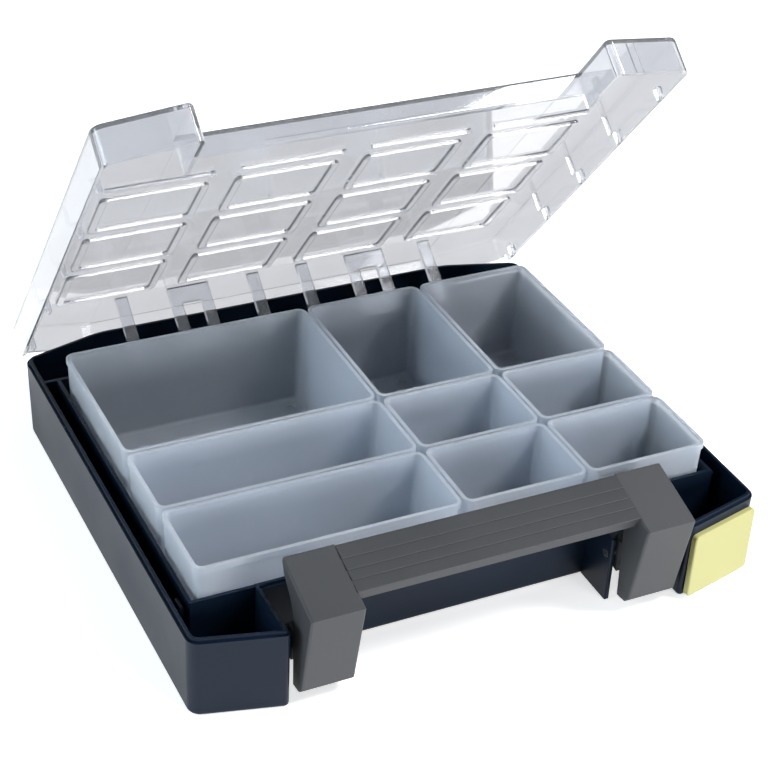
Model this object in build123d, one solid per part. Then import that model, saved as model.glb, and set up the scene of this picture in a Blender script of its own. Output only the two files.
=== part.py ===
from build123d import *
import math
import os

# Assortment case: tray, clear lid on two hinge pins, handle that latches the lid, colour plate
# and nine lift-out inserts. Millimetres. The shapes are drawn with y = 0 at the front edge of the
# insert block and z = 0 under the tray; every piece is then moved so that the frame's origin lies
# under the middle of the tray. The lid and the handle are drawn closed and turned to the way they
# stand at rest.

# insert grid
unit_x = 55.0
unit_y = 39.0
units_across = 4
units_deep = 4
block_half = unit_x * units_across / 2
block_depth = unit_y * units_deep

# well that holds the inserts
well_gap = 1.0
well_back_gap = 0.8
well_wall = 1.6
well_half = block_half + well_gap
well_back = block_depth + well_back_gap

# tray
tray_height = 36.2
tray_wall = 2.4
tray_floor = 1.9
tray_draft = 1.2
side_channel = 7.6
tray_half = well_half + well_wall + side_channel
finger_gap = 0.6
hinge_reach = 15.5
hinge_to_back = 14.0
finger_front = well_back + well_wall + finger_gap
hinge_y = finger_front + hinge_reach
tray_back = hinge_y + hinge_to_back
slant_run = 35.2
slant_depth = 10.0
slant_half = tray_half - slant_run
tray_side_back = tray_back - slant_depth
recess_set = 0.2
recess_y = recess_set - tray_wall
lug_width = 35.9
lug_depth = 28.2
lug_slant_depth = 8.9
lug_inner = tray_half - lug_width
lug_front = recess_y - lug_depth
lug_side_front = lug_front + lug_slant_depth
lug_corner = 2.5
tray_corner = 4.0
tray_bottom_round = 2.5
origin_y = (tray_back + lug_front) / 2
post_gap = 1.1
post_size = (1.6, 6.0)
post_x = well_half + well_wall + post_gap + post_size[0] / 2
post_y = 4.0
post_below_rim = 3.2

# inserts
insert_gap = 0.4
insert_above_tray = 12.7
insert_top = tray_height + insert_above_tray
insert_wall = 1.2
insert_floor = 1.2
insert_draft = 1.3
insert_corner = 4.0
insert_rim_height = 2.6
insert_rim_proud = 0.5
insert_bottom_round = 2.0
foot_radius = 3.0
foot_height = 0.8
foot_inset = 9.0

# hinge
hinge_below_rim = 14.0
hinge_z = tray_height - hinge_below_rim
lid_open = 50.8
pin_radius = 1.5
pin_fit = 0.03
hinge_running = 0.05
knuckle_radius = 3.6
knuckle_width = 5.0
knuckle_gap = 0.9
finger_middle = 42.8
finger_spacing = 30.8
finger_narrow = 5.3
finger_wide = 18.9
knuckle_from_wide = 10.8
finger_thick = 2.5
finger_window = 13.0
finger_window_low = 7.8
finger_leg = 5.0

# lid, closed
lid_over_inserts = 3.1
lid_top = insert_top + lid_over_inserts
lid_panel_step = 0.4
lid_panel_thick = 1.1
lid_panel_top = lid_top - lid_panel_step
lid_under = lid_panel_top - lid_panel_thick
lid_panel_half = unit_x * 1.5
lid_in_from_tray = 0.4
lid_half = tray_half - lid_in_from_tray
lid_wall = 1.8
lid_gap = 0.5
lid_edge_z = tray_height + lid_gap
horn_over_lug = 1.4
horn_behind_lug = 0.7
lid_horn_inner = lug_inner - horn_over_lug
lid_horn_front = lug_front + horn_behind_lug
lid_horn_side_front = lug_side_front - lid_gap
lid_slant_back = 1.7
lid_side_back = tray_side_back - lid_slant_back
lid_front_set = 0.2
lid_front_y = recess_y + lid_front_set
lid_front_above_tray = 6.2
lid_front_edge_z = tray_height + lid_front_above_tray
lid_back_rise = 3.1
lid_back_edge_z = lid_edge_z + lid_back_rise
lid_back_strip = 17.0
lid_back_from = tray_back - lid_back_strip
lid_corner = 5.0
horn_corner = 4.5
lid_edge_round = 1.4
latch_lip = 1.6
latch_lip_height = 1.8
latch_lip_short = 6.7

# rib frames under the lid, one over each column of units and each row between unit lines
rail_over_insert = 0.3
rail_tip = insert_top + rail_over_insert
rail_long = 1.2
rail_short = 3.0
rail_corner = 2.5
frame_margin_x = 10.8
frame_margin_y = 8.6
frame_length = unit_x - frame_margin_x
frame_depth = unit_y - frame_margin_y
frame_shift = 0.5
frame_rows = units_deep - 1
locator_width = 3.0
locator_depth = 1.8
locator_drop = 1.9
locator_gap = 0.4
skirt_rib_offset = 5.7
skirt_rib_width = 1.4
skirt_rib_depth = 1.6
skirt_rib_rise = 5.3
skirt_rib_low = lid_edge_z + skirt_rib_rise
overlap = 0.2

# handle, closed: (y, z) corners of the arm's side, back from and under the top back corner
handle_open = 12.0
handle_gap = 0.6
handle_drop = 0.7
handle_back = lid_front_y - handle_gap
handle_top = lid_top - handle_drop
arm_width = 21.5
arm_gap = 4.1
arm_outer = lug_inner - arm_gap
arm_inner = arm_outer - arm_width
handle_skin = 2.2
handle_depth_top = 29.4
handle_depth_low = 30.6
handle_depth_toe = 28.3
handle_depth_heel = 23.0
handle_depth_back = 14.8
handle_depth_flare = 11.0
handle_depth_flare_top = 3.0
handle_fall_top = 2.5
handle_fall_low = 40.9
handle_fall_toe = 44.4
handle_fall_heel = 46.1
handle_fall_back = 15.3
handle_fall_flare = 10.5
handle_fall_flare_top = 5.1
grip_depth = 22.3
grip_height = 5.7
grip_treads = [7.3, 12.4, 16.9]
grip_step = 0.5
grip_edge = 0.6
pivot_back = 13.4
pivot_fall = 30.3
pivot_y = handle_back - pivot_back
pivot_z = handle_top - pivot_fall
ear_radius = 5.2
ear_rise = 9.0
ear_root = 3.0
handle_pin_radius = 2.0
handle_pin_head = 3.4
handle_pin_head_length = 1.6
handle_running = 0.05

# handle brackets of the tray
bracket_gap = 1.3
bracket_thick = 2.0
bracket_outer = arm_inner - bracket_gap
bracket_inner = bracket_outer - bracket_thick
bracket_reach = 3.8
bracket_front = pivot_y - bracket_reach
bracket_above_pivot = 9.0
bracket_top = pivot_z + bracket_above_pivot
boss_radius = 4.6
boss_gap = 0.4

# colour plate on the right lug
plate_start = 1.0
plate_side = 2.5
plate_width = math.hypot(lug_width, lug_slant_depth) - plate_start - plate_side
plate_low = 1.5
plate_below_rim = 5.2
plate_high = tray_height - plate_below_rim
plate_thick = 2.4
plate_corner = 2.0
plate_edge = 0.8
stud_radius = 2.5
stud_fit = 0.1
stud_spacing = 18.0
stud_length = 4.0


def mirrored(points):
    # points of the right half, then those of the left half in reverse
    return points + [(-x, y) for x, y in reversed(points)]


def both_sides(shape):
    return [shape, mirror(shape, about=Plane.YZ)]


def box_between(x_range, y_range, z_range):
    centre = [(low + high) / 2 for low, high in (x_range, y_range, z_range)]
    size = [high - low for low, high in (x_range, y_range, z_range)]
    return Pos(*centre) * Box(*size)


def rod(x_range, y, z, radius):
    length = x_range[1] - x_range[0]
    return Pos((x_range[0] + x_range[1]) / 2, y, z) * Rot(0, 90, 0) * Cylinder(radius, length)


def side_profile(points, x_range):
    # outline in the y-z plane, pulled out along x
    face = make_face(Plane.YZ * Polyline(*points, close=True))
    return Pos(x_range[0], 0, 0) * extrude(face, x_range[1] - x_range[0], dir=(1, 0, 0))


def case_outline(half, inner, front, side_front, notch_y, side_back, back, corner, inner_corner):
    right = [
        (inner, notch_y),
        (inner, front),
        (half, side_front),
        (half, side_back),
        (slant_half, back),
    ]
    outline = make_face(Polyline(*mirrored(right), close=True))
    front_corners = [v for v in outline.vertices() if v.Y < side_front + 1 and abs(v.X) > half - 1]
    rest = [v for v in outline.vertices() if v.Y > side_back - 1]
    outline = fillet(front_corners + rest, corner)
    horn_corners = [v for v in outline.vertices() if v.Y < front + 1]
    return fillet(horn_corners, inner_corner)


def tray_outline():
    return case_outline(tray_half, lug_inner, lug_front, lug_side_front, recess_y, tray_side_back,
                        tray_back, tray_corner, lug_corner)


def tray_shell():
    outline = tray_outline()
    body = extrude(Pos(0, 0, tray_height) * outline, -tray_height, taper=tray_draft)
    body = fillet(body.faces().sort_by(Axis.Z)[0].edges(), tray_bottom_round)
    inside = offset(outline, -tray_wall, kind=Kind.INTERSECTION)
    return body - extrude(Pos(0, 0, tray_floor) * inside, tray_height)


def well_walls():
    outer = well_half + well_wall
    height = (0.5, tray_height)
    side = box_between((well_half, outer), (recess_y + 1, well_back + well_wall), height)
    front = box_between((lug_inner, outer), (recess_y, recess_y + tray_wall), height)
    back = box_between((0, tray_half - 1.5), (well_back, well_back + well_wall), height)
    post = box_between((post_x - post_size[0] / 2, post_x + post_size[0] / 2),
                       (post_y - post_size[1] / 2, post_y + post_size[1] / 2),
                       (0.5, tray_height - post_below_rim))
    return side + front + back + post


def tray_hinge_knuckle(x_range):
    web = box_between(x_range, (hinge_y - knuckle_radius, tray_back - 1.5), (0.5, hinge_z))
    return web + rod(x_range, hinge_y, hinge_z, knuckle_radius)


def handle_bracket():
    wall = box_between((bracket_inner, bracket_outer), (bracket_front, recess_y + 1), (0, bracket_top))
    front_top = wall.edges().filter_by(Axis.X).sort_by(Axis.Y)[:2]
    wall = fillet(front_top, 2.0)
    boss = rod((arm_outer + boss_gap, lug_inner + 1), pivot_y, pivot_z, boss_radius)
    return wall + boss


def around(middle, width):
    return (middle - width / 2, middle + width / 2)


def finger_stations():
    # narrow, wide and narrow hinge finger of the right half
    return [
        around(finger_middle - finger_spacing, finger_narrow),
        around(finger_middle, finger_wide),
        around(finger_middle + finger_spacing, finger_narrow),
    ]


def tray_knuckles():
    # one beside each narrow finger and one on each side of the wide one
    beside = finger_spacing + finger_narrow / 2 + knuckle_gap + knuckle_width / 2
    apart = finger_wide / 2 + knuckle_from_wide
    distances = (-beside, -apart, apart, beside)
    return [around(finger_middle + distance, knuckle_width) for distance in distances]


def lug_slant():
    run = tray_half - lug_inner
    rise = lug_side_front - lug_front
    return math.degrees(math.atan2(rise, run))


def on_lug_front(along, z):
    # a plane on the right lug's slanted front, its x along the front and its z pointing out
    angle = math.radians(lug_slant())
    at = (lug_inner + along * math.cos(angle), lug_front + along * math.sin(angle), z)
    outward = (math.sin(angle), -math.cos(angle), 0)
    return Plane(origin=at, x_dir=(math.cos(angle), math.sin(angle), 0), z_dir=outward)


def stud_places():
    middle = plate_start + plate_width / 2
    height = (plate_low + plate_high) / 2
    return [on_lug_front(middle - stud_spacing / 2, height), on_lug_front(middle + stud_spacing / 2, height)]


def base_tray():
    tray = tray_shell()
    for side in both_sides(well_walls()):
        tray += side
    for station in tray_knuckles():
        for side in both_sides(tray_hinge_knuckle(station)):
            tray += side
    for side in both_sides(handle_bracket()):
        tray += side
    hinge_bore = rod((-tray_half + 5, tray_half - 5), hinge_y, hinge_z, pin_radius + pin_fit)
    tray -= hinge_bore
    handle_bore = rod((bracket_inner - 1, lug_inner + tray_wall + 1), pivot_y, pivot_z,
                      handle_pin_radius + pin_fit)
    for side in both_sides(handle_bore):
        tray -= side
    for place in stud_places():
        tray -= extrude(place * Circle(stud_radius + stud_fit), 6, both=True)
    return tray


def hinge_pin():
    stations = tray_knuckles()
    return rod((stations[0][0], stations[-1][1]), hinge_y, hinge_z, pin_radius)


def handle_pin():
    shank = rod((bracket_inner, lug_inner + tray_wall), pivot_y, pivot_z, handle_pin_radius)
    inside = lug_inner + tray_wall
    return shank + rod((inside, inside + handle_pin_head_length), pivot_y, pivot_z, handle_pin_head)


def lid_outline(inset):
    outline = case_outline(lid_half, lid_horn_inner, lid_horn_front, lid_horn_side_front, lid_front_y,
                           lid_side_back, tray_back, lid_corner, horn_corner)
    if inset:
        return offset(outline, -inset, kind=Kind.INTERSECTION)
    return outline


def lid_shell():
    body = extrude(Pos(0, 0, lid_edge_z) * lid_outline(0), lid_top - lid_edge_z)
    body = fillet(body.faces().sort_by(Axis.Z)[-1].edges(), lid_edge_round)
    body -= extrude(Pos(0, 0, lid_edge_z) * lid_outline(lid_wall), lid_under - lid_edge_z)
    panel = box_between((-lid_panel_half, lid_panel_half), (lid_front_y - 1, tray_back + 1),
                        (lid_panel_top, lid_top + 1))
    body -= panel
    front_gap = box_between((-lid_horn_inner, lid_horn_inner),
                            (lid_front_y - 1, lid_front_y + lid_wall + 0.4),
                            (lid_edge_z - 1, lid_front_edge_z))
    back_gap = box_between((-lid_half - 1, lid_half + 1), (lid_back_from, tray_back + 1),
                           (lid_edge_z - 1, lid_back_edge_z))
    return body - front_gap - back_gap


def latch_lip_bar():
    half = arm_inner - latch_lip_short
    return box_between((-half, half), (lid_front_y - latch_lip, lid_front_y + 0.5),
                       (lid_front_edge_z, lid_front_edge_z + latch_lip_height))


def rib_frame(column, row):
    # one frame of the ribs that keep small parts in their insert, wider at its short sides
    x = -block_half + unit_x * (column + 0.5)
    y = unit_y * (row + 1.5) + frame_shift
    inner = RectangleRounded(frame_length - 2 * rail_short, frame_depth - 2 * rail_long,
                             rail_corner - rail_long)
    ring = RectangleRounded(frame_length, frame_depth, rail_corner) - inner
    return extrude(Pos(x, y, rail_tip) * ring, lid_under - rail_tip + overlap)


def front_rail(column):
    x = -block_half + unit_x * (column + 0.5)
    y = unit_y - frame_margin_y / 2 + frame_shift
    half = frame_length / 2
    return box_between((x - half, x + half), (y - rail_long, y), (rail_tip, lid_under + overlap))


def lid_locator(y):
    # small tongue inside the side skirt that drops inside the tray's rim, clear of the tray's wall
    outer = tray_half - tray_wall - locator_gap
    width = (y - locator_width / 2, y + locator_width / 2)
    foot = box_between((outer - locator_depth, outer), width, (lid_edge_z - locator_drop, lid_edge_z + 3))
    root = box_between((outer - locator_depth, lid_half - lid_wall + 0.3), width,
                       (lid_edge_z + locator_gap, lid_under + overlap))
    return foot + root


def skirt_rib(y):
    outer = lid_half - lid_wall
    width = (y - skirt_rib_width / 2, y + skirt_rib_width / 2)
    return box_between((outer - skirt_rib_depth, outer + overlap), width,
                       (skirt_rib_low, lid_under + overlap))


def hinge_finger(x_range):
    low, high = x_range
    leg_back = finger_front + finger_thick
    foot_low = hinge_z - knuckle_radius
    leg = box_between(x_range, (finger_front, leg_back), (foot_low, lid_under + overlap))
    foot = box_between(x_range, (finger_front, hinge_y), (foot_low, foot_low + finger_thick))
    finger = leg + foot + rod(x_range, hinge_y, hinge_z, knuckle_radius)
    if high - low > 3 * finger_leg:
        between = (low + finger_leg, high - finger_leg)
        window_low = hinge_z + finger_window_low
        finger -= box_between(between, (finger_front - 1, leg_back + 1),
                              (window_low, window_low + finger_window))
        finger -= box_between(between, (leg_back, hinge_y + knuckle_radius + 1),
                              (foot_low - 1, hinge_z + knuckle_radius + 1))
    return finger - rod((low - 1, high + 1), hinge_y, hinge_z, pin_radius + hinge_running)


def lid_closed():
    lid = lid_shell() + latch_lip_bar()
    for column in range(units_across):
        lid += front_rail(column)
        for row in range(frame_rows):
            lid += rib_frame(column, row)
    last_locator = well_back + well_wall + locator_gap + locator_width / 2
    for y in [unit_y * number for number in range(units_deep)] + [last_locator]:
        for side in both_sides(lid_locator(y)):
            lid += side
    for number in range(1, frame_rows + 1):
        for side in both_sides(skirt_rib(unit_y * number + skirt_rib_offset)):
            lid += side
    for station in finger_stations():
        for side in both_sides(hinge_finger(station)):
            lid += side
    return lid


def turn(shape, y, z, angle):
    # turn about an axis along x through (y, z)
    return Pos(0, y, z) * Rot(angle, 0, 0) * Pos(0, -y, -z) * shape


def lid():
    return turn(lid_closed(), hinge_y, hinge_z, -lid_open)


def on_arm(depth, fall):
    # a point of the arm's side, so far in front of the handle's back and under its top
    return (handle_back - depth, handle_top - fall)


def arm_profile():
    return [
        on_arm(0, 0),
        on_arm(handle_depth_top, handle_fall_top),
        on_arm(handle_depth_low, handle_fall_low),
        on_arm(handle_depth_toe, handle_fall_toe),
        on_arm(handle_depth_heel, handle_fall_heel),
        on_arm(handle_depth_back, handle_fall_back),
        on_arm(handle_depth_flare, handle_fall_flare),
        on_arm(handle_depth_flare_top, handle_fall_flare_top),
    ]


def arm_hollow():
    # behind the front skin and under the top skin, open at the back and the bottom
    skin = handle_skin
    past = 2 * skin
    shelf = handle_fall_flare + skin
    return [
        on_arm(skin, skin),
        on_arm(handle_depth_top - skin, handle_fall_top + skin),
        on_arm(handle_depth_low - skin, handle_fall_low),
        on_arm(handle_depth_toe - skin, handle_fall_heel + past),
        on_arm(-past, handle_fall_heel + past),
        on_arm(-past, shelf),
        on_arm(skin, shelf),
    ]


def ear(x_range):
    # flange piece that reaches back from the arm's side to the pivot
    root = handle_back - handle_depth_back - ear_root
    tip = pivot_y + handle_skin / 2
    reach = [
        (root, pivot_z + ear_rise),
        (root - ear_root, pivot_z - ear_rise),
        (tip, pivot_z - ear_radius),
        (tip, pivot_z + ear_radius),
    ]
    return side_profile(reach, x_range) + rod(x_range, pivot_y, pivot_z, ear_radius)


def handle_arm():
    arm = side_profile(arm_profile(), (arm_inner, arm_outer))
    arm -= side_profile(arm_hollow(), (arm_inner + handle_skin, arm_outer - handle_skin))
    arm += ear((arm_inner, arm_inner + handle_skin))
    arm += ear((arm_outer - handle_skin, arm_outer))
    return arm - rod((arm_inner - 1, arm_outer + 1), pivot_y, pivot_z, handle_pin_radius + handle_running)


def grip():
    # bar between the arms: its top goes down in treads towards the front, and it is hollow below
    points = [on_arm(0, grip_height), on_arm(0, grip_edge), on_arm(grip_edge, 0)]
    for number, depth in enumerate(grip_treads):
        points.append(on_arm(depth, grip_step * number))
        points.append(on_arm(depth + overlap, grip_step * (number + 1)))
    last = grip_step * len(grip_treads)
    points += [on_arm(grip_depth - grip_edge, last), on_arm(grip_depth, last + grip_edge)]
    points += [on_arm(grip_depth, grip_height), on_arm(grip_depth - handle_skin, grip_height)]
    points += [on_arm(grip_depth - handle_skin, last + handle_skin), on_arm(handle_skin, last + handle_skin)]
    points += [on_arm(handle_skin, grip_height)]
    return side_profile(points, (-arm_inner - overlap, arm_inner + overlap))


def handle():
    piece = grip()
    for side in both_sides(handle_arm()):
        piece += side
    return turn(piece, pivot_y, pivot_z, handle_open)


def colour_plate():
    middle = plate_start + plate_width / 2
    height = (plate_low + plate_high) / 2
    face = on_lug_front(middle, height) * RectangleRounded(plate_width, plate_high - plate_low, plate_corner)
    plate = extrude(face, plate_thick)
    front = plate.faces().sort_by(Axis((0, 0, 0), on_lug_front(0, 0).z_dir))[-1]
    plate = fillet(front.edges(), plate_edge)
    for place in stud_places():
        plate += extrude(place * Circle(stud_radius), -stud_length)
    return plate


def insert(column, row, columns, rows):
    x = -block_half + unit_x * (column + columns / 2)
    y = unit_y * (row + rows / 2)
    width = unit_x * columns - 2 * insert_gap
    depth = unit_y * rows - 2 * insert_gap
    proud = insert_rim_proud
    bottom = tray_floor + foot_height
    at_rim = Pos(x, y, insert_top)
    outer = RectangleRounded(width - 2 * proud, depth - 2 * proud, insert_corner)
    body = extrude(at_rim * outer, -(insert_top - bottom), taper=insert_draft)
    body = fillet(body.faces().sort_by(Axis.Z)[0].edges(), insert_bottom_round)
    body += extrude(at_rim * RectangleRounded(width, depth, insert_corner + proud), -insert_rim_height)
    thick = proud + insert_wall
    inner = RectangleRounded(width - 2 * thick, depth - 2 * thick, insert_corner - insert_wall)
    hollow = extrude(at_rim * inner, -(insert_top - bottom - insert_floor), taper=insert_draft)
    hollow = fillet(hollow.faces().sort_by(Axis.Z)[0].edges(), insert_bottom_round - insert_wall / 2)
    body -= hollow
    for side_x in (-1, 1):
        for side_y in (-1, 1):
            foot_x = x + side_x * (width / 2 - foot_inset)
            foot_y = y + side_y * (depth / 2 - foot_inset)
            foot = Pos(foot_x, foot_y, tray_floor + foot_height / 2 + 0.1) * Cylinder(foot_radius,
                                                                                   foot_height + 0.2)
            body += foot
    return body


insert_plan = {
    "insert_back_large": (0, 2, 2, 2),
    "insert_back_middle": (2, 2, 1, 2),
    "insert_back_right": (3, 2, 1, 2),
    "insert_centre_long": (0, 1, 2, 1),
    "insert_centre_middle": (2, 1, 1, 1),
    "insert_centre_right": (3, 1, 1, 1),
    "insert_front_long": (0, 0, 2, 1),
    "insert_front_middle": (2, 0, 1, 1),
    "insert_front_right": (3, 0, 1, 1),
}


def all_pieces():
    pieces = {
        "base_tray": base_tray(),
        "lid": lid(),
        "handle": handle(),
        "colour_plate": colour_plate(),
    }
    for name, shape in (("hinge_pin", hinge_pin()), ("handle_pin", handle_pin())):
        right, left = both_sides(shape)
        pieces[name + "_right"] = right
        pieces[name + "_left"] = left
    for name, place in insert_plan.items():
        pieces[name] = insert(*place)
    return pieces


os.makedirs("parts", exist_ok=True)
for name, piece in all_pieces().items():
    export_step(Pos(0, -origin_y, 0) * piece, "parts/" + name + ".step")
    print(name, round(piece.volume / 1000, 2), "cm3", len(piece.solids()), "solid")
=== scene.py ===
import bmesh
import bpy
import math
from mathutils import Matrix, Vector


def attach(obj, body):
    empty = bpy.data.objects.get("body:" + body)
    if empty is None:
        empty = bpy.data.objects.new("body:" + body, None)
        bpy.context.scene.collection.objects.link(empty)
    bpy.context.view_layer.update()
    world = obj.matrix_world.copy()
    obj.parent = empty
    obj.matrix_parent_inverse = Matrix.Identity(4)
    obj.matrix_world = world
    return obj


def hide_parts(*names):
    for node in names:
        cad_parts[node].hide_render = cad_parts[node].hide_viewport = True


# Assortment case with a clear lid that stands open, drawn in millimetres.
# y = 0 is the front edge of the insert block and z = 0 is the table.
# Each piece is shrunk to metres and moved into the frame when it is finished.
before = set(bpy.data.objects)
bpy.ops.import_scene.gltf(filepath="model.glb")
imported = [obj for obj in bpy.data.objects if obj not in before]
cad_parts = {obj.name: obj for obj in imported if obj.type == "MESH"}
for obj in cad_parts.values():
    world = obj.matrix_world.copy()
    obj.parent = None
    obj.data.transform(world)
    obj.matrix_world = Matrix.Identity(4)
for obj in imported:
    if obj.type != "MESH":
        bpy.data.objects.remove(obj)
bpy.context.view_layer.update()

drawing = {"metre": 0.001, "middleY": 79.05, "unitX": 55.0, "unitY": 39.0, "blockHalf": 110.0}
# how far blanks and cutting blocks reach past the shape that is left
past = {"cut": 1, "step": 2, "stock": 3, "gap": 5, "hinge": 8}


# Small helpers that work on one mesh at a time.
def nothingSelected():
    if bpy.context.object and bpy.context.object.mode != "OBJECT":
        bpy.ops.object.mode_set(mode="OBJECT")
    bpy.ops.object.select_all(action="DESELECT")


def takeUp(piece):
    nothingSelected()
    piece.select_set(True)
    bpy.context.view_layer.objects.active = piece


def editing(piece):
    takeUp(piece)
    bpy.ops.object.mode_set(mode="EDIT")


def doneEditing():
    bpy.ops.object.mode_set(mode="OBJECT")


def choose(piece, kind, test):
    # kind is VERT, EDGE or FACE, and test gets the element itself
    bpy.ops.mesh.select_mode(type=kind)
    bpy.ops.mesh.select_all(action="DESELECT")
    mesh = bmesh.from_edit_mesh(piece.data)
    group = {"VERT": mesh.verts, "EDGE": mesh.edges, "FACE": mesh.faces}[kind]
    found = [item for item in group if test(item)]
    for item in found:
        item.select_set(True)
    mesh.select_flush_mode()
    bmesh.update_edit_mesh(piece.data)
    return len(found)


def near(value, target, slack=0.02):
    return abs(value - target) < slack


def bothAt(edge, axis, target, slack=0.02):
    return all(near(v.co[axis], target, slack) for v in edge.verts)


def upright(edge, share=0.9):
    a, b = edge.verts[0].co, edge.verts[1].co
    return abs(a.z - b.z) > share * (a - b).length


def edgeMiddle(edge):
    return (edge.verts[0].co + edge.verts[1].co) / 2


def facesZ(face, way, share=0.9):
    # whether a face looks up (way 1) or down (way -1)
    return face.normal.z * way > share


def onSide(side, low, high):
    # the same stretch of x on the right (1) or mirrored on the left (-1)
    return (low, high) if side > 0 else (-high, -low)


def applyPlace():
    bpy.ops.object.transform_apply(location=True, rotation=True, scale=True)


def block(name, x, y, z):
    nothingSelected()
    middle = [(low + high) / 2 for low, high in (x, y, z)]
    size = [high - low for low, high in (x, y, z)]
    bpy.ops.mesh.primitive_cube_add(size=1, location=middle)
    piece = bpy.context.object
    piece.scale = size
    applyPlace()
    piece.name = name
    piece.data.name = name
    return piece


def drum(name, middle, radius, length, along="Z", sides=32):
    nothingSelected()
    turned = {"X": (0, math.pi / 2, 0), "Z": (0, 0, 0)}[along]
    bpy.ops.mesh.primitive_cylinder_add(vertices=sides, radius=radius, depth=length,
                                        location=middle, rotation=turned)
    piece = bpy.context.object
    applyPlace()
    piece.name = name
    piece.data.name = name
    return piece


def sliceOff(piece, point, normal, keepAll=False):
    # takes away what lies on the side that the normal points to
    editing(piece)
    bpy.ops.mesh.select_mode(type="FACE")
    bpy.ops.mesh.select_all(action="SELECT")
    bpy.ops.mesh.bisect(plane_co=point, plane_no=Vector(normal).normalized(),
                        use_fill=not keepAll, clear_outer=not keepAll)
    doneEditing()


def bevelEdges(piece, test, width, segments=3):
    editing(piece)
    if choose(piece, "EDGE", test):
        bpy.ops.mesh.bevel(offset=width, offset_type="OFFSET", segments=segments,
                           affect="EDGES", clamp_overlap=True)
    doneEditing()


def shrinkLoop(piece, z, amount, size):
    # pulls the corners at one height inwards by an amount on each side of a block of that size
    editing(piece)
    choose(piece, "VERT", lambda v: near(v.co.z, z))
    factor = [(length - 2 * amount) / length for length in size]
    bpy.ops.transform.resize(value=(*factor, 1), center_override=(0, 0, z))
    doneEditing()


def joinUp(pieces):
    takeUp(pieces[0])
    for piece in pieces[1:]:
        piece.select_set(True)
    bpy.ops.object.join()
    return pieces[0]


def combine(piece, tool, operation):
    takeUp(piece)
    step = piece.modifiers.new("combine", "BOOLEAN")
    step.operation = operation
    step.solver = "EXACT"
    step.object = tool
    bpy.ops.object.modifier_apply(modifier=step.name)
    bpy.data.objects.remove(tool, do_unlink=True)


def cutAway(piece, tool):
    combine(piece, tool, "DIFFERENCE")


def weld(piece, tool):
    combine(piece, tool, "UNION")


def copyOf(piece, name, shift=(0, 0, 0), mirrorX=False):
    twin = piece.copy()
    twin.data = piece.data.copy()
    twin.name = name
    twin.data.name = name
    bpy.context.scene.collection.objects.link(twin)
    takeUp(twin)
    twin.location = shift
    if mirrorX:
        twin.scale = (-1, 1, 1)
    applyPlace()
    if mirrorX:
        editing(twin)
        bpy.ops.mesh.select_all(action="SELECT")
        bpy.ops.mesh.normals_make_consistent(inside=False)
        doneEditing()
    return twin


def tidyMesh(piece, distance=0.002, thinnest=0.001):
    editing(piece)
    bpy.ops.mesh.select_all(action="SELECT")
    bpy.ops.mesh.remove_doubles(threshold=distance)
    bpy.ops.mesh.dissolve_degenerate(threshold=thinnest)
    doneEditing()


def turnAboutX(piece, degrees, middle):
    editing(piece)
    bpy.ops.mesh.select_all(action="SELECT")
    bpy.ops.transform.rotate(value=math.radians(degrees), orient_axis="X",
                             center_override=(0, *middle))
    doneEditing()


def finishPiece(piece, body, nodes, finish, sharpFrom=32):
    takeUp(piece)
    piece.scale = (drawing["metre"],) * 3
    piece.location = (0, -drawing["middleY"] * drawing["metre"], 0)
    applyPlace()
    bpy.ops.object.shade_smooth_by_angle(angle=math.radians(sharpFrom))
    even = piece.modifiers.new("even", "WEIGHTED_NORMAL")
    even.keep_sharp = True
    bpy.ops.object.modifier_apply(modifier=even.name)
    piece.data.materials.clear()
    piece.data.materials.append(finish)
    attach(piece, body)
    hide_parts(*nodes)
    print("made", piece.name, len(piece.data.polygons), "faces")


# Procedural finishes.
def newFinish(name):
    finish = bpy.data.materials.new(name)
    finish.use_nodes = True
    tree = finish.node_tree
    return finish, tree, tree.nodes["Principled BSDF"]


def patternAt(tree, look):
    place = tree.nodes.new("ShaderNodeTexCoord")
    mapping = tree.nodes.new("ShaderNodeMapping")
    mapping.inputs["Scale"].default_value = look.get("stretch", (1, 1, 1))
    tree.links.new(place.outputs["Object"], mapping.inputs["Vector"])
    return mapping.outputs["Vector"]


def noiseOn(tree, where, scale, detail=2.0, rough=0.5):
    noise = tree.nodes.new("ShaderNodeTexNoise")
    noise.inputs["Scale"].default_value = scale
    noise.inputs["Detail"].default_value = detail
    noise.inputs["Roughness"].default_value = rough
    tree.links.new(where, noise.inputs["Vector"])
    return noise.outputs["Fac"]


def between(tree, fac, low, high, start=0.3, stop=0.7):
    # spreads the part of the noise from start to stop over the values from low to high
    spread = tree.nodes.new("ShaderNodeMapRange")
    spread.inputs["From Min"].default_value = start
    spread.inputs["From Max"].default_value = stop
    spread.inputs["To Min"].default_value = low
    spread.inputs["To Max"].default_value = high
    tree.links.new(fac, spread.inputs["Value"])
    return spread.outputs["Result"]


def twoColours(tree, fac, low, high, start=0.32, stop=0.68):
    ramp = tree.nodes.new("ShaderNodeValToRGB")
    ramp.color_ramp.elements[0].position = start
    ramp.color_ramp.elements[1].position = stop
    ramp.color_ramp.elements[0].color = (*low, 1)
    ramp.color_ramp.elements[1].color = (*high, 1)
    tree.links.new(fac, ramp.inputs["Fac"])
    return ramp.outputs["Color"]


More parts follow.
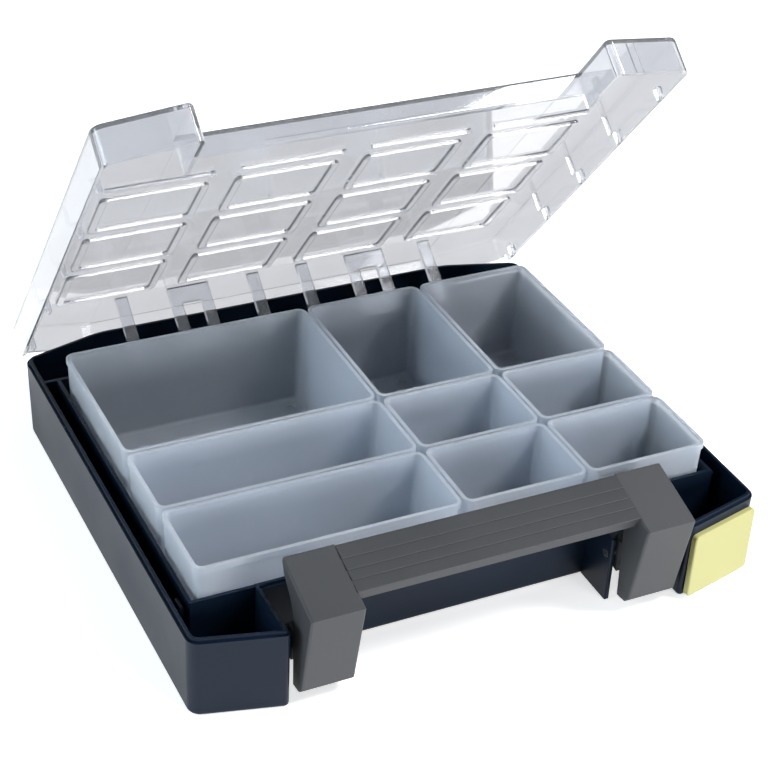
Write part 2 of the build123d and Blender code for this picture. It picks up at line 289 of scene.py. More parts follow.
def plasticFinish(name, look, coatRough=0.06):
    finish, tree, shader = newFinish(name)
    where = patternAt(tree, look)
    broad = noiseOn(tree, where, look["cloud"], detail=3)
    fine = noiseOn(tree, where, look["grain"], rough=0.6)
    low = [c * (1 - look["vary"]) for c in look["colour"]]
    high = [c * (1 + look["vary"]) for c in look["colour"]]
    tree.links.new(twoColours(tree, broad, low, high), shader.inputs["Base Color"])
    tree.links.new(between(tree, broad, *look["rough"]), shader.inputs["Roughness"])
    bump = tree.nodes.new("ShaderNodeBump")
    bump.inputs["Strength"].default_value = look["bump"]
    bump.inputs["Distance"].default_value = look["depth"]
    tree.links.new(fine, bump.inputs["Height"])
    tree.links.new(bump.outputs["Normal"], shader.inputs["Normal"])
    shader.inputs["IOR"].default_value = look.get("ior", 1.5)
    shader.inputs["Specular IOR Level"].default_value = look.get("specular", 0.5)
    shader.inputs["Transmission Weight"].default_value = look.get("through", 0.0)
    shader.inputs["Metallic"].default_value = look.get("metal", 0.0)
    shader.inputs["Coat Weight"].default_value = look.get("coat", 0.0)
    shader.inputs["Coat Roughness"].default_value = coatRough
    return finish


# cloud and grain are the scales of the broad and the fine noise, vary is the colour's spread,
# and through is the share of light that passes
trayPlastic = plasticFinish("trayPlastic", {
    "colour": (0.003, 0.0085, 0.02), "vary": 0.12, "cloud": 18, "grain": 1400,
    "rough": (0.36, 0.46), "bump": 0.25, "depth": 0.00008, "specular": 0.17})
handlePlastic = plasticFinish("handlePlastic", {
    "colour": (0.036, 0.038, 0.042), "vary": 0.05, "cloud": 22, "grain": 1600,
    "rough": (0.46, 0.56), "bump": 0.3, "depth": 0.0001, "specular": 0.36})
platePlastic = plasticFinish("platePlastic", {
    "colour": (0.395, 0.38, 0.16), "vary": 0.02, "cloud": 30, "grain": 1300,
    "rough": (0.38, 0.46), "bump": 0.2, "depth": 0.00006, "specular": 0.3})
clearPlastic = plasticFinish("clearPlastic", {
    "colour": (0.785, 0.795, 0.83), "vary": 0.01, "cloud": 25, "grain": 60,
    "rough": (0.03, 0.07), "bump": 0.05, "depth": 0.0004, "ior": 1.3, "through": 0.9,
    "coat": 0.5})
frostedPlastic = plasticFinish("frostedPlastic", {
    "colour": (0.86, 0.91, 0.98), "vary": 0.02, "cloud": 20, "grain": 900,
    "rough": (0.28, 0.36), "bump": 0.12, "depth": 0.0001, "ior": 1.3, "through": 0.78})
pinSteel = plasticFinish("pinSteel", {
    "colour": (0.56, 0.57, 0.58), "vary": 0.05, "cloud": 60, "grain": 2200,
    "rough": (0.22, 0.32), "bump": 0.15, "depth": 0.00005, "metal": 1.0,
    "stretch": (0.06, 1, 1)})
print("finishes ready")


# Lift-out inserts.
insertShape = {
    "gap": 0.4, "bottom": 2.7, "top": 48.9, "wall": 1.2, "floor": 1.2, "draft": 1.3,
    "rimHigh": 2.6, "rimProud": 0.5, "rimRound": 0.3, "shoulderRound": 0.15, "shoulderTurn": 1.0,
    "corner": 4.0, "bottomRound": 2.0, "insideRound": 1.4,
    "stepAt": 6.8, "stepHigh": 0.5, "stepIn": 0.3,
    "footRadius": 3.0, "footHigh": 0.8, "footTall": 1.2, "footRound": 0.25, "footInset": 9.0,
    "dimpleRadius": 2.4}


def hollowInsert(piece, s, outer, size, lean):
    # the rim stands proud of the walls, and the inside narrows towards the floor
    shoulder, inside = s["top"] - s["rimHigh"], s["bottom"] + s["floor"]
    deep = s["top"] - s["bottom"] - s["floor"]
    inner = [length - 2 * (s["rimProud"] + s["wall"]) for length in outer]
    editing(piece)
    choose(piece, "FACE",
           lambda f: facesZ(f, 1) and near(f.calc_center_median().z, shoulder))
    bpy.ops.mesh.extrude_region_move(TRANSFORM_OT_translate={"value": (0, 0, 0)})
    bpy.ops.transform.resize(value=(outer[0] / size[0], outer[1] / size[1], 1),
                             center_override=(0, 0, shoulder))
    bpy.ops.mesh.extrude_region_move(TRANSFORM_OT_translate={"value": (0, 0, s["rimHigh"])})
    bpy.ops.mesh.inset(thickness=s["rimProud"] + s["wall"])
    bpy.ops.mesh.extrude_region_move(TRANSFORM_OT_translate={"value": (0, 0, -deep)})
    bpy.ops.transform.resize(value=(*[(length - 2 * deep * lean) / length for length in inner], 1),
                             center_override=(0, 0, inside))
    doneEditing()
    bevelEdges(piece, lambda e: bothAt(e, 2, inside), s["insideRound"])
    bevelEdges(piece, lambda e: bothAt(e, 2, s["top"]), s["rimRound"], segments=2)
    bevelEdges(piece, lambda e: bothAt(e, 2, shoulder)
               and e.calc_face_angle(0) > s["shoulderTurn"], s["shoulderRound"], segments=1)


def insertBlank(columns, rows):
    s = insertShape
    width = drawing["unitX"] * columns - 2 * s["gap"]
    depth = drawing["unitY"] * rows - 2 * s["gap"]
    halfX, halfY = width / 2 - s["rimProud"], depth / 2 - s["rimProud"]
    size = (2 * halfX, 2 * halfY)
    shoulder, stepTop = s["top"] - s["rimHigh"], s["stepAt"] + s["stepHigh"]
    lean = math.tan(math.radians(s["draft"]))
    piece = block("insertBlank", (-halfX, halfX), (-halfY, halfY), (s["bottom"], shoulder))
    for z in (s["stepAt"], stepTop):
        sliceOff(piece, (0, 0, z), (0, 0, 1), keepAll=True)
    for z, extra in ((stepTop, 0), (s["stepAt"], s["stepIn"]), (s["bottom"], s["stepIn"])):
        shrinkLoop(piece, z, (shoulder - z) * lean + extra, size)
    bevelEdges(piece, upright, s["corner"], segments=6)
    bevelEdges(piece, lambda e: bothAt(e, 2, s["bottom"]), s["bottomRound"], segments=4)
    hollowInsert(piece, s, (width, depth), size, lean)
    feet, dimples = [], []
    low = s["bottom"] - s["footHigh"]
    for sideX in (-1, 1):
        for sideY in (-1, 1):
            x = sideX * (width / 2 - s["footInset"])
            y = sideY * (depth / 2 - s["footInset"])
            feet.append(drum("foot", (x, y, low + s["footTall"] / 2), s["footRadius"],
                             s["footTall"]))
            dimples.append(drum("dimple", (x, y, s["bottom"] + s["floor"]), s["dimpleRadius"],
                                s["footTall"]))
    weld(piece, joinUp(feet))
    cutAway(piece, joinUp(dimples))
    bevelEdges(piece, lambda e: bothAt(e, 2, low), s["footRound"], segments=2)
    return piece


def makeInserts():
    places = {
        "insert_back_large": (0, 2, 2, 2), "insert_back_middle": (2, 2, 1, 2),
        "insert_back_right": (3, 2, 1, 2), "insert_centre_long": (0, 1, 2, 1),
        "insert_centre_middle": (2, 1, 1, 1), "insert_centre_right": (3, 1, 1, 1),
        "insert_front_long": (0, 0, 2, 1), "insert_front_middle": (2, 0, 1, 1),
        "insert_front_right": (3, 0, 1, 1)}
    blanks = {}
    for node, (column, row, columns, rows) in places.items():
        if (columns, rows) not in blanks:
            blanks[columns, rows] = insertBlank(columns, rows)
        x = -drawing["blockHalf"] + drawing["unitX"] * (column + columns / 2)
        y = drawing["unitY"] * (row + rows / 2)
        piece = copyOf(blanks[columns, rows], node.replace("insert_", "insertTub_"), (x, y, 0))
        finishPiece(piece, node, [node], frostedPlastic)
    for blank in blanks.values():
        bpy.data.objects.remove(blank, do_unlink=True)


# Tray.
trayShape = {
    "half": 120.2, "high": 36.2, "wall": 2.4, "floor": 1.9, "draft": 1.2,
    "back": 188.5, "sideBack": 178.5, "slantHalf": 85.0, "recessY": -2.2,
    "lugInner": 84.3, "lugFront": -30.4, "lugSideFront": -21.5,
    "lugCorner": 2.5, "corner": 4.0, "bottomRound": 2.5,
    "ledge": 1.1, "ledgeDown": 1.4, "rimRound": 0.22,
    "pinchBack": 2.9, "pinchX": 0.6, "pinchY": 0.7, "pinchAbove": 1, "merge": 0.12,
    "manySided": 20,
    "wellHalf": 111.0, "wellWall": 1.6, "wellBack": 156.8, "bite": 1.5,
    # each wall's lower end and how far it stays below the rim
    "backWall": (1.2, 0.35), "sideWall": (1.0, 0.25), "frontWall": (1.1, 0.15),
    # how far the walls start and end off the faces that they meet
    "sideWallY": (1, 0.5), "frontWallX": 0.2, "frontWallY": (0.7, 0.15),
    "hingeY": 174.5, "hingeZ": 22.2, "knuckle": 3.6, "webIn": 0.02, "webLow": 1,
    "knuckles": ((3.6, 8.4), (20.0, 25.0), (60.5, 65.5), (77.2, 82.0)),
    "bracket": ((55.4, 57.4), (-19.8, -1.0), (0, 30.0)), "bracketRound": 0.6,
    "pivot": (-16.0, 21.0), "boss": (80.6, 85.3), "bossRadius": 4.6,
    "post": ((113.7, 115.3), (1.0, 7.0), (1.0, 33.0)), "postRound": 0.4}


def caseBlank(name, s, low, high):
    # a block with slanted corners at front and back and the gap between the two front lugs
    piece = block(name, (-s["half"], s["half"]), (s["lugFront"] - past["stock"], s["back"]),
                  (low, high))
    cutAway(piece, block("gap", (-s["lugInner"], s["lugInner"]),
                         (s["lugFront"] - past["gap"], s["recessY"]),
                         (low - past["cut"], high + past["cut"])))
    for side in (-1, 1):
        sliceOff(piece, (s["lugInner"] * side, s["lugFront"], 0),
                 ((s["lugSideFront"] - s["lugFront"]) * side, s["lugInner"] - s["half"], 0))
        sliceOff(piece, (s["slantHalf"] * side, s["back"], 0),
                 ((s["back"] - s["sideBack"]) * side, s["half"] - s["slantHalf"], 0))
    return piece


def roundCorners(piece, s, outer, inner, slack=0.1):
    bevelEdges(piece, lambda e: upright(e) and edgeMiddle(e).y < s["lugFront"] + slack, inner,
               segments=4)
    bevelEdges(piece, lambda e: upright(e) and abs(edgeMiddle(e).x) > s["half"] - slack, outer,
               segments=6)
    bevelEdges(piece, lambda e: upright(e) and edgeMiddle(e).y > s["back"] - slack, outer,
               segments=4)


def trayBlank(s):
    ledge = s["high"] - s["ledgeDown"]
    piece = caseBlank("trayShell", s, 0, ledge)
    roundCorners(piece, s, s["corner"], s["lugCorner"])
    lean = ledge * math.tan(math.radians(s["draft"]))
    middle = (s["back"] + s["lugFront"]) / 2
    editing(piece)
    choose(piece, "VERT", lambda v: near(v.co.z, 0))
    bpy.ops.transform.resize(value=(1 - lean / s["half"], 1 - lean / (s["back"] - middle), 1),
                             center_override=(0, middle, 0))
    doneEditing()
    bevelEdges(piece, lambda e: bothAt(e, 2, 0), s["bottomRound"], segments=4)
    editing(piece)
    choose(piece, "FACE", lambda f: facesZ(f, 1))
    bpy.ops.mesh.inset(thickness=s["ledge"])  # the outer strip stays below the inner lip
    bpy.ops.mesh.extrude_region_move(TRANSFORM_OT_translate={"value": (0, 0, s["ledgeDown"])})
    bpy.ops.mesh.inset(thickness=s["wall"] - s["ledge"])
    bpy.ops.mesh.extrude_region_move(
        TRANSFORM_OT_translate={"value": (0, 0, s["floor"] - s["high"])})
    doneEditing()
    editing(piece)  # the inset is as deep as the lug's corner is round, so it becomes a point
    choose(piece, "VERT",
           lambda v: near(abs(v.co.x), s["lugInner"] + s["wall"], s["pinchX"])
           and near(v.co.y, s["lugFront"] + s["pinchBack"], s["pinchY"])
           and v.co.z > s["pinchAbove"])
    bpy.ops.mesh.remove_doubles(threshold=s["pinchX"])
    doneEditing()
    tidyMesh(piece, s["merge"])
    bevelEdges(piece, lambda e: bothAt(e, 2, s["high"]), s["rimRound"], segments=2)
    editing(piece)  # the two largest faces go round the gap, so they are divided
    choose(piece, "FACE", lambda f: len(f.verts) > s["manySided"])
    bpy.ops.mesh.quads_convert_to_tris(quad_method="BEAUTY", ngon_method="BEAUTY")
    doneEditing()
    return piece


def trayKnuckle(s, side, low, high):
    knuckle = drum("knuckle", (side * (low + high) / 2, s["hingeY"], s["hingeZ"]), s["knuckle"],
                   high - low, "X")
    weld(knuckle, block("knuckleWeb", onSide(side, low + s["webIn"], high - s["webIn"]),
                        (s["hingeY"] - s["knuckle"], s["back"] - s["bite"]),
                        (s["webLow"], s["hingeZ"])))
    return knuckle


def traySide(s, side):
    # inner wall, pocket wall, pocket post, handle bracket, boss and hinge knuckles of one side
    def wallHeight(kind):
        return (s[kind][0], s["high"] - s[kind][1])

    outer = s["wellHalf"] + s["wellWall"]
    parts = [
        block("wellSide", onSide(side, s["wellHalf"], outer),
              (s["recessY"] + s["sideWallY"][0], s["wellBack"] + s["sideWallY"][1]),
              wallHeight("sideWall")),
        block("wellFront", onSide(side, s["lugInner"] - s["bite"], outer - s["frontWallX"]),
              (s["recessY"] + s["frontWallY"][0],
               s["recessY"] + s["wall"] - s["frontWallY"][1]), wallHeight("frontWall"))]
    post = block("post", onSide(side, *s["post"][0]), s["post"][1], s["post"][2])
    bevelEdges(post, lambda e: near(edgeMiddle(e).z, s["post"][2][1]), s["postRound"],
               segments=2)
    bracket = block("bracket", onSide(side, *s["bracket"][0]), s["bracket"][1], s["bracket"][2])
    bevelEdges(bracket, lambda e: near(edgeMiddle(e).z, s["bracket"][2][1])
               or near(edgeMiddle(e).y, s["bracket"][1][0]), s["bracketRound"])
    boss = drum("boss", (side * sum(s["boss"]) / 2, *s["pivot"]), s["bossRadius"],
                s["boss"][1] - s["boss"][0], "X")
    parts += [post, bracket, boss]
    return parts + [trayKnuckle(s, side, low, high) for low, high in s["knuckles"]]


def makeTray():
    s = trayShape
    piece = trayBlank(s)
    parts = [block("wellBack", (-s["half"] + s["bite"], s["half"] - s["bite"]),
                   (s["wellBack"], s["wellBack"] + s["wellWall"]),
                   (s["backWall"][0], s["high"] - s["backWall"][1]))]
    for side in (-1, 1):
        parts += traySide(s, side)
    joinUp([piece] + parts)
    finishPiece(piece, "tray", ["base_tray"], trayPlastic)


# Lid.
lidShape = {
    "half": 119.8, "lugInner": 82.9, "lugFront": -29.45, "lugSideFront": -21.8,
    "recessY": -2.0, "back": 188.5, "sideBack": 176.8, "slantHalf": 85.0,
    "corner": 4.2, "innerCorner": 3.6, "topRound": 1.4, "underRound": 0.8, "largeFace": 1000,
    "edge": 36.7, "top": 52.0, "under": 50.5, "wall": 1.8,
    "panelHalf": 82.5, "panelTop": 51.6, "frontEdge": 42.4, "frontGapIn": 0.4,
    "backEdge": 39.8, "backFrom": 171.5,
    "lip": ((-52.0, 52.0), (-3.6, -1.5), (42.4, 44.2)), "lipRound": 0.5,
    "open": 50.8, "hingeY": 174.5, "hingeZ": 22.2,
    # ribs start this far inside the top or the side that carries them
    "railInto": 0.2, "topInto": 0.3, "sideInto": 0.4,
    "railTip": 49.2, "railLong": 1.6, "railShort": 3.0, "railSlope": 0.87, "railRound": 0.15,
    "frame": (44.2, 31.2), "frameShift": 0.1, "frameCorner": 2.5, "frontRailRound": 0.4,
    "postRadius": 1.2, "postProud": 0.2, "postIn": (1.6, 0.9), "frontPostIn": (0.9, 0.1),
    "dimple": 0.6, "dimpleDeep": 0.8, "frameGrid": (4, 3),
    "pegAt": (0.0, 39.0, 78.0, 117.0, 160.3), "peg": (3.0, 1.8), "pegTip": 34.8,
    "pegTop": 41.0, "pegOuter": 117.4, "pegRound": 0.6, "rootIn": (0.2, 0.1),
    "rootZ": (0.6, 0.2),
    "ribAt": (44.7, 83.7, 122.7), "rib": (1.4, 1.6), "ribLow": 42.0,
    "bandAt": 95.0, "bandWide": 3.6, "bandDeep": (-0.3, 0.7), "bandIn": 0.1,
    "fingers": ((9.3, 14.6), (33.4, 52.3), (70.9, 76.2)), "fingerFront": 159.0,
    "fingerThick": 2.5, "fingerLeg": 5.0, "fingerRound": 0.35, "footIn": 0.5,
    "windowFrom": 15.0, "fingerWindow": (30.0, 43.0), "knuckle": 3.6, "bore": 1.55}


def slopeTip(rail, y, tip, slope, slack=0.06):
    # the side towards the front leans back from the root to the tip
    editing(rail)
    choose(rail, "VERT", lambda v: near(v.co.z, tip) and near(v.co.y, y, slack))
    bpy.ops.transform.translate(value=(0, slope, 0))
    doneEditing()


def railPost(s, x, y):
    low, high = s["railTip"] - s["postProud"], s["under"] + s["railInto"]
    post = drum("railPost", (x, y, (low + high) / 2), s["postRadius"], high - low, sides=20)
    cutAway(post, drum("postDimple", (x, y, low), s["postRadius"] * s["dimple"],
                       s["dimpleDeep"] * 2, sides=16))
    return post


def railFrameBlank(s):
    # one low rib all round, wider at its short sides, with a small post at two corners
    halfX, halfY = s["frame"][0] / 2, s["frame"][1] / 2
    low, high = s["railTip"], s["under"] + s["railInto"]
    ring = block("railFrame", (-halfX, halfX), (-halfY, halfY), (low, high))
    bevelEdges(ring, upright, s["frameCorner"], segments=4)
    inside = block("railInside", (-halfX + s["railShort"], halfX - s["railShort"]),
                   (-halfY + s["railLong"], halfY - s["railLong"]),
                   (low - past["cut"], high + past["cut"]))
    bevelEdges(inside, upright, s["frameCorner"] - 1)
    cutAway(ring, inside)
    for y in (-halfY, halfY - s["railLong"]):
        slopeTip(ring, y, low, s["railSlope"])
    bevelEdges(ring, lambda e: bothAt(e, 2, low), s["railRound"], segments=2)
    x, y = halfX - s["postIn"][0], halfY - s["postIn"][1]
    weld(ring, joinUp([railPost(s, x, y), railPost(s, -x, -y)]))
    return ring


def frontRail(s, x):
    # the front row of units has only the rear rib of a frame, with one post
    front = drawing["unitY"] - (drawing["unitY"] - s["frame"][1]) / 2 + s["frameShift"]
    halfX = s["frame"][0] / 2
    rail = block("frontRail", (x - halfX, x + halfX), (front - s["railLong"], front),
                 (s["railTip"], s["under"] + s["railInto"]))
    bevelEdges(rail, upright, s["frontRailRound"], segments=2)
    slopeTip(rail, front - s["railLong"], s["railTip"], s["railSlope"])
    weld(rail, railPost(s, x + halfX - s["frontPostIn"][0],
                        front - s["railLong"] / 2 + s["frontPostIn"][1]))
    return rail


def lidRails(s):
    blank = railFrameBlank(s)
    rails = []
    columns, rows = s["frameGrid"]
    for column in range(columns):
        x = -drawing["blockHalf"] + drawing["unitX"] * (column + 0.5)
        for row in range(rows):
            y = drawing["unitY"] * (row + 1.5) + s["frameShift"]
            rails.append(copyOf(blank, "rail", (x, y, 0)))
        rails.append(frontRail(s, x))
    bpy.data.objects.remove(blank, do_unlink=True)
    return rails


def sidePeg(s, side, y, inner):
    # small tongue that drops inside the tray's rim, and the root that carries it
    width, deep = s["peg"]
    outer = s["pegOuter"]
    peg = block("peg", onSide(side, outer - deep, outer), (y - width / 2, y + width / 2),
                (s["pegTip"], s["pegTop"]))
    bevelEdges(peg, lambda e: near(edgeMiddle(e).z, s["pegTip"]), s["pegRound"])
    inX, inY = s["rootIn"]
    weld(peg, block("pegRoot", onSide(side, outer - deep + inX, inner + s["sideInto"]),
                    (y - width / 2 + inY, y + width / 2 - inY),
                    (s["edge"] + s["rootZ"][0], s["pegTop"] - s["rootZ"][1])))
    return peg


def hornBand(s, side):
    # upright band on the inside of the horn's slanted front
    band = block("hornBand", (-s["bandWide"] / 2, s["bandWide"] / 2), s["bandDeep"],
                 (s["edge"] + s["topInto"], s["under"] + s["topInto"]))
    slant = math.atan2(s["lugSideFront"] - s["lugFront"], s["half"] - s["lugInner"])
    along = s["bandAt"] - s["lugInner"]
    band.rotation_euler = (0, 0, side * slant)
    band.location = (side * s["bandAt"],
                     s["lugFront"] + along * math.tan(slant) + s["wall"] + s["bandIn"], 0)
    takeUp(band)
    applyPlace()
    return band


def lidSide(s, side):
    inner = s["half"] - s["wall"]
    width, deep = s["rib"]
    ribs = [sidePeg(s, side, y, inner) for y in s["pegAt"]]
    for y in s["ribAt"]:
        ribs.append(block("skirtRib", onSide(side, inner - deep, inner + s["sideInto"]),
                          (y - width / 2, y + width / 2),
                          (s["ribLow"], s["under"] + s["topInto"])))
    ribs.append(hornBand(s, side))
    return ribs


def lidFinger(low, high, s):
    # leg down from the lid, foot back to the hinge and the eye round the pin
    back = s["fingerFront"] + s["fingerThick"]
    foot = s["hingeZ"] - s["knuckle"]
    eyeAt = ((low + high) / 2, s["hingeY"], s["hingeZ"])
    finger = block("fingerLeg", (low, high), (s["fingerFront"], back),
                   (foot, s["under"] + s["topInto"]))
    weld(finger, block("fingerFoot", (low, high),
                       (s["fingerFront"] + s["footIn"], s["hingeY"]),
                       (foot, foot + s["fingerThick"])))
    weld(finger, drum("fingerEye", eyeAt, s["knuckle"], high - low, "X"))
    if high - low > s["windowFrom"]:
        legs = (low + s["fingerLeg"], high - s["fingerLeg"])
        cutAway(finger, block("window", legs, (s["fingerFront"] - past["cut"], back + past["cut"]),
                              s["fingerWindow"]))
        cutAway(finger, block("between", legs, (back, s["hingeY"] + past["hinge"]),
                              (foot - past["cut"], s["hingeZ"] + past["hinge"])))
    cutAway(finger, drum("eye", eyeAt, s["bore"], high - low + 2 * past["cut"], "X"))
    tidyMesh(finger)
    bevelEdges(finger, lambda e: bothAt(e, 0, low) or bothAt(e, 0, high), s["fingerRound"],
               segments=2)
    return finger


def lidBlank(s):
    piece = caseBlank("lidShell", s, s["edge"], s["top"])
    roundCorners(piece, s, s["corner"], s["innerCorner"])
    bevelEdges(piece, lambda e: bothAt(e, 2, s["top"]), s["topRound"])
    editing(piece)
    choose(piece, "FACE", lambda f: facesZ(f, -1) and f.calc_area() > s["largeFace"])
    bpy.ops.mesh.inset(thickness=s["wall"])
    bpy.ops.mesh.extrude_region_move(
        TRANSFORM_OT_translate={"value": (0, 0, s["under"] - s["edge"])})
    doneEditing()
    bevelEdges(piece, lambda e: bothAt(e, 2, s["under"]), s["underRound"], segments=2)
    # the middle of the top lies lower, and the skirt ends higher at the front and the back
    below = s["edge"] - past["cut"]
    cutAway(piece, block("panel", (-s["panelHalf"], s["panelHalf"]),
                         (s["recessY"] - past["gap"], s["back"] + past["gap"]),
                         (s["panelTop"], s["top"] + past["step"])))
    cutAway(piece, block("frontGap", (-s["lugInner"], s["lugInner"]),
                         (s["recessY"] - past["cut"], s["recessY"] + s["wall"] + s["frontGapIn"]),
                         (below, s["frontEdge"])))
    cutAway(piece, block("backGap", (-s["half"] - past["cut"], s["half"] + past["cut"]),
                         (s["backFrom"], s["back"] + past["cut"]), (below, s["backEdge"])))
    lip = block("lip", *s["lip"])
    bevelEdges(lip, lambda e: near(edgeMiddle(e).y, s["lip"][1][0]), s["lipRound"], segments=2)
    weld(piece, lip)
    print("lid shell ready")
    return piece


def makeLid():
    s = lidShape
    piece = lidBlank(s)
    inside = lidRails(s)
    for side in (-1, 1):
        inside += lidSide(s, side)
    weld(piece, joinUp(inside))
    for low, high in s["fingers"]:
        weld(piece, lidFinger(low, high, s))
        weld(piece, lidFinger(-high, -low, s))
    tidyMesh(piece)
    turnAboutX(piece, s["open"], (s["hingeY"], s["hingeZ"]))  # up about its hinge pins
    finishPiece(piece, "lid", ["lid"], clearPlastic)


# Handle.
handleShape = {
    "arm": (58.7, 80.2), "skin": 2.2, "edge": 1.0, "open": 12.0,
    # points (y, z) of an arm's outline seen from the side
    "topBack": (-2.6, 51.3), "topFront": (-32.0, 48.8), "frontLow": (-33.2, 10.4),
    "toe": (-30.9, 6.9), "heel": (-25.6, 5.2), "backLow": (-17.4, 36.0),
    "flare": (-13.6, 40.8), "flareTop": (-5.6, 46.2),
    "hollowIn": 1, "hollowBack": 4, "hollowDown": 8,
    "pivot": (-16.0, 21.0), "bore": 2.05, "ear": 5.2, "earThin": 0.05,
    "earY": (4, 1), "earZ": (1, 3),
    "gripFront": -24.9, "gripLow": 45.6, "gripInto": 0.6, "gripEnd": 0.5, "gripRound": 1.0,
    "treads": ((-9.9, 50.8), (-15.0, 50.3), (-19.5, 49.8)), "treadCut": (80, 40, 60),
    "treadRound": 0.4, "treadTurn": 0.5}


def faceThrough(piece, a, b):
    # flat face along x through two points of the side outline, walked with the piece on the right
    sliceOff(piece, (0, a[0], a[1]), (0, a[1] - b[1], b[0] - a[0]))


def armBlank(s):
    low, high = s["arm"]
    back = s["topBack"][0]
    piece = block("arm", (low, high), (s["frontLow"][0], back), (s["heel"][1], s["topBack"][1]))
    faceThrough(piece, s["topFront"], s["topBack"])
    faceThrough(piece, s["frontLow"], s["topFront"])
    faceThrough(piece, s["toe"], s["frontLow"])
    faceThrough(piece, s["heel"], s["toe"])
    for point in (s["flareTop"], s["flare"], s["backLow"]):
        sliceOff(piece, (0, 0, point[1]), (0, 0, 1), keepAll=True)
    for y, z in (s["flareTop"], s["flare"], s["backLow"], s["heel"]):
        editing(piece)
        choose(piece, "VERT", lambda v: near(v.co.z, z) and near(v.co.y, back))
        bpy.ops.transform.translate(value=(0, y - back, 0))
        doneEditing()
    tidyMesh(piece)
    bevelEdges(piece, lambda e: bothAt(e, 0, low) or bothAt(e, 0, high), s["edge"])
    return piece


def handleArm(s):
    # hollow from below and from behind, with an ear round the pivot at each side
    low, high = s["arm"]
    skin = s["skin"]
    walls = (low + skin, high - skin)
    arm = armBlank(s)
    front = (s["topFront"][0] + skin, s["frontLow"][0] + skin)
    top = s["topBack"][1] - skin
    upper = block("armUpper", walls, (front[1], s["topBack"][0] - skin), (-past["cut"], top))
    faceThrough(upper, (front[0], s["topFront"][1] - skin), (s["topBack"][0], top))
    faceThrough(upper, (front[1], s["frontLow"][1]), (front[0], s["topFront"][1]))
    cutAway(arm, upper)
    lower = block("armLower", walls, (front[0] + s["hollowIn"], s["hollowBack"]),
                  (-past["cut"], s["flareTop"][1] - s["hollowDown"]))
    cutAway(arm, lower)
    pivotY, pivotZ = s["pivot"]
    for start in (low, high - skin):
        ear = block("ear", (start + s["earThin"], start + skin - s["earThin"]),
                    (s["backLow"][0] - s["earY"][0], pivotY + s["earY"][1]),
                    (pivotZ - s["ear"] - s["earZ"][0], pivotZ + s["ear"] + s["earZ"][1]))
        weld(ear, drum("earEye", (start + skin / 2, pivotY, pivotZ), s["ear"],
                       skin - 2 * s["earThin"], "X"))
        weld(arm, ear)
    cutAway(arm, drum("bore", ((low + high) / 2, pivotY, pivotZ), s["bore"],
                      high - low + 2 * past["step"], "X"))
    tidyMesh(arm)
    return arm


def handleGrip(s, slack=0.1):
    # bar between the arms with treads on its top, hollow from below
    end, skin = s["arm"][0], s["skin"]
    back, top = s["topBack"]
    lowestTread = s["treads"][-1][1]
    cutX, cutY, cutZ = s["treadCut"]
    grip = block("grip", (-end - s["gripInto"], end + s["gripInto"]), (s["gripFront"], back),
                 (s["gripLow"], top))
    bevelEdges(grip, lambda e: bothAt(e, 1, back) and bothAt(e, 2, top), s["gripRound"])
    for y, z in s["treads"]:
        cutAway(grip, block("tread", (-cutX, cutX), (-cutY, y), (z, cutZ)))
    bevelEdges(grip, lambda e: not upright(e) and edgeMiddle(e).z > lowestTread - slack
               and near(edgeMiddle(e).x, 0, slack)
               and e.calc_face_angle_signed(0) > s["treadTurn"], s["treadRound"], segments=2)
    cutAway(grip, block("gripHollow", (-end + s["gripEnd"], end - s["gripEnd"]),
                        (s["gripFront"] + skin, back - skin),
                        (s["gripLow"] - past["step"], lowestTread - skin)))
    tidyMesh(grip)
    return grip


def makeHandle():
    s = handleShape
    arm = handleArm(s)
    other = copyOf(arm, "armLeft", mirrorX=True)
    piece = handleGrip(s)
    weld(piece, joinUp([arm, other]))
    piece.name = "handleGrip"
    tidyMesh(piece)
    turnAboutX(piece, -s["open"], s["pivot"])
    finishPiece(piece, "handle", ["handle"], handlePlastic)


# Plate on the right lug.
plateShape = {"start": 1.0, "width": 34.5, "low": 1.5, "high": 31.0, "thick": 2.4,
              "corner": 2.0, "edge": 0.7}


def makePlate():
    s, t = plateShape, trayShape
    angle = math.atan2(t["lugSideFront"] - t["lugFront"], t["half"] - t["lugInner"])
    plate = block("colourPlate", (s["start"], s["start"] + s["width"]), (-s["thick"], 0),
                  (s["low"], s["high"]))
    bevelEdges(plate, lambda e: abs(e.verts[0].co.y - e.verts[1].co.y) > s["thick"] / 2,
               s["corner"], segments=5)
    bevelEdges(plate, lambda e: bothAt(e, 1, -s["thick"]), s["edge"])
    plate.rotation_euler = (0, 0, angle)
    plate.location = (t["lugInner"], t["lugFront"], 0)
    applyPlace()
    finishPiece(plate, "tray", ["colour_plate"], platePlastic)


makeInserts()
makeTray()
makeLid()
makeHandle()
makePlate()

for node in ("hinge_pin_left", "hinge_pin_right", "handle_pin_left", "handle_pin_right"):
    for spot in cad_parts[node].material_slots:
        spot.material = pinSteel


# Floor, light and camera.
studio = {
    "room": (0.8, 0.92, 1.0), "roomStrength": 0.14, "white": (1, 1, 1), "whiteStrength": 1.0,
    "floorSize": 6, "floor": (0.92, 0.92, 0.93), "floorRough": 0.9, "floorSpecular": 0.1,
    "glow": 0.62, "aim": (0, 0, 0.05)}
lamps = {
    "front": {"at": (0.6, -1.5, 0.22), "size": 0.56, "power": 19},
    "key": {"at": (0.95, -0.5, 1.36), "size": 0.6, "power": 36},
    "side": {"at": (-1.5, -0.1, 0.6), "size": 0.9, "power": 21, "colour": (0.84, 0.94, 1.0)},
    "rim": {"at": (-1.2, 1.1, 0.35), "size": 0.8, "power": 3}}
view = {"lens": 90.59, "sensor": 36, "at": (-0.29954, -0.59005, 0.48564),
        "turn": (56.919, -2.751, -25.308)}


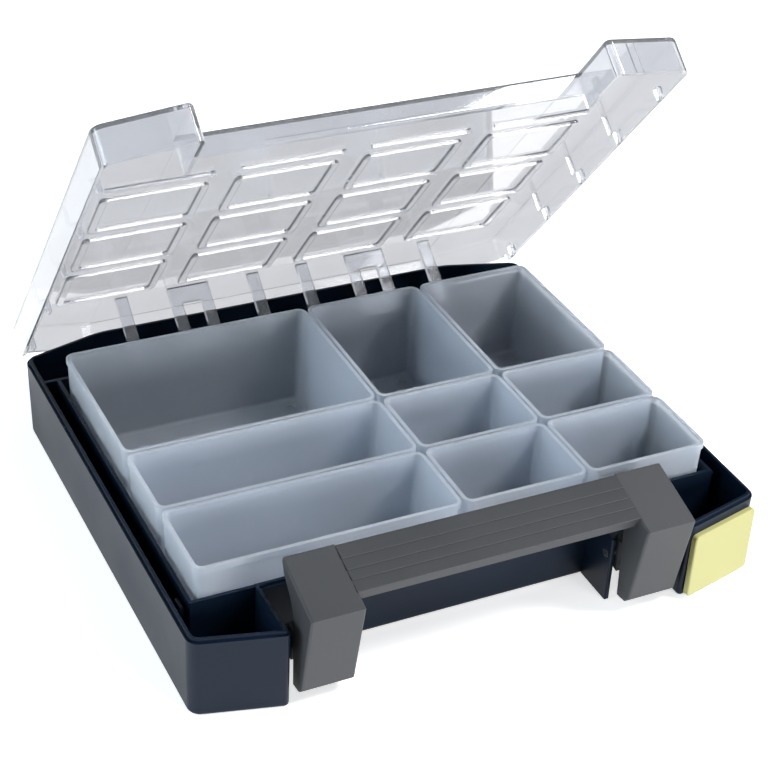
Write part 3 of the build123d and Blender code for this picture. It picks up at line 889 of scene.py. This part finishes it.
def mathNode(tree, operation, first, second):
    # each input is an output of another node or a plain number
    node = tree.nodes.new("ShaderNodeMath")
    node.operation = operation
    for socket, source in zip(node.inputs, (first, second)):
        if isinstance(source, (int, float)):
            socket.default_value = source
        else:
            tree.links.new(source, socket)
    return node.outputs[0]


def litFromCamera(tree, plain, seen, rays):
    # the named kinds of ray meet the second shader, until the light has scattered once
    path = tree.nodes.new("ShaderNodeLightPath")
    chosen = path.outputs[rays[0]]
    for ray in rays[1:]:
        chosen = mathNode(tree, "MAXIMUM", chosen, path.outputs[ray])
    straight = mathNode(tree, "LESS_THAN", path.outputs["Diffuse Depth"], 0.5)
    mix = tree.nodes.new("ShaderNodeMixShader")
    tree.links.new(mathNode(tree, "MULTIPLY", chosen, straight), mix.inputs["Fac"])
    tree.links.new(plain, mix.inputs[1])
    tree.links.new(seen, mix.inputs[2])
    return mix.outputs[0]


def makeWorld():
    world = bpy.data.worlds.new("studio")
    bpy.context.scene.world = world
    world.use_nodes = True
    tree = world.node_tree
    room = tree.nodes["Background"]
    white = tree.nodes.new("ShaderNodeBackground")
    for node, kind in ((room, "room"), (white, "white")):
        node.inputs["Color"].default_value = (*studio[kind], 1)
        node.inputs["Strength"].default_value = studio[kind + "Strength"]
    result = litFromCamera(tree, room.outputs[0], white.outputs[0],
                           ("Is Camera Ray", "Is Transmission Ray"))
    tree.links.new(result, tree.nodes["World Output"].inputs["Surface"])


def glowing(tree, strength):
    glow = tree.nodes.new("ShaderNodeEmission")
    glow.inputs["Strength"].default_value = strength
    return glow.outputs[0]


def makeFloor():
    nothingSelected()
    bpy.ops.mesh.primitive_plane_add(size=studio["floorSize"], location=(0, 0, 0))
    floor = bpy.context.object
    floor.name = "floor"
    finish, tree, plain = newFinish("paleFloor")
    plain.inputs["Base Color"].default_value = (*studio["floor"], 1)
    plain.inputs["Roughness"].default_value = studio["floorRough"]
    plain.inputs["Specular IOR Level"].default_value = studio["floorSpecular"]
    both = tree.nodes.new("ShaderNodeAddShader")
    tree.links.new(plain.outputs[0], both.inputs[0])
    tree.links.new(glowing(tree, studio["glow"]), both.inputs[1])
    result = litFromCamera(tree, plain.outputs[0], both.outputs[0],
                           ("Is Camera Ray", "Is Glossy Ray"))
    # the clear lid and the inserts are seen against plain white
    result = litFromCamera(tree, result, glowing(tree, studio["whiteStrength"]),
                           ("Is Transmission Ray",))
    tree.links.new(result, tree.nodes["Material Output"].inputs["Surface"])
    floor.data.materials.append(finish)


def makeLamps():
    for name, lamp in lamps.items():
        data = bpy.data.lights.new(name, "AREA")
        data.energy = lamp["power"]
        data.size = lamp["size"]
        data.color = lamp.get("colour", (1, 1, 1))
        holder = bpy.data.objects.new(name, data)
        bpy.context.scene.collection.objects.link(holder)
        holder.location = lamp["at"]
        aim = Vector(studio["aim"]) - Vector(lamp["at"])
        holder.rotation_euler = aim.to_track_quat("-Z", "Y").to_euler()


def makeCamera():
    data = bpy.data.cameras.new("camera")
    data.lens = view["lens"]
    data.sensor_width = view["sensor"]
    camera = bpy.data.objects.new("camera", data)
    camera.location = view["at"]
    camera.rotation_euler = [math.radians(angle) for angle in view["turn"]]
    bpy.context.scene.collection.objects.link(camera)
    bpy.context.scene.camera = camera


makeWorld()
makeFloor()
makeLamps()
makeCamera()
print("floor, lamps and camera ready")
bpy.context.scene.view_settings.view_transform = "Standard"
print("scene ready")
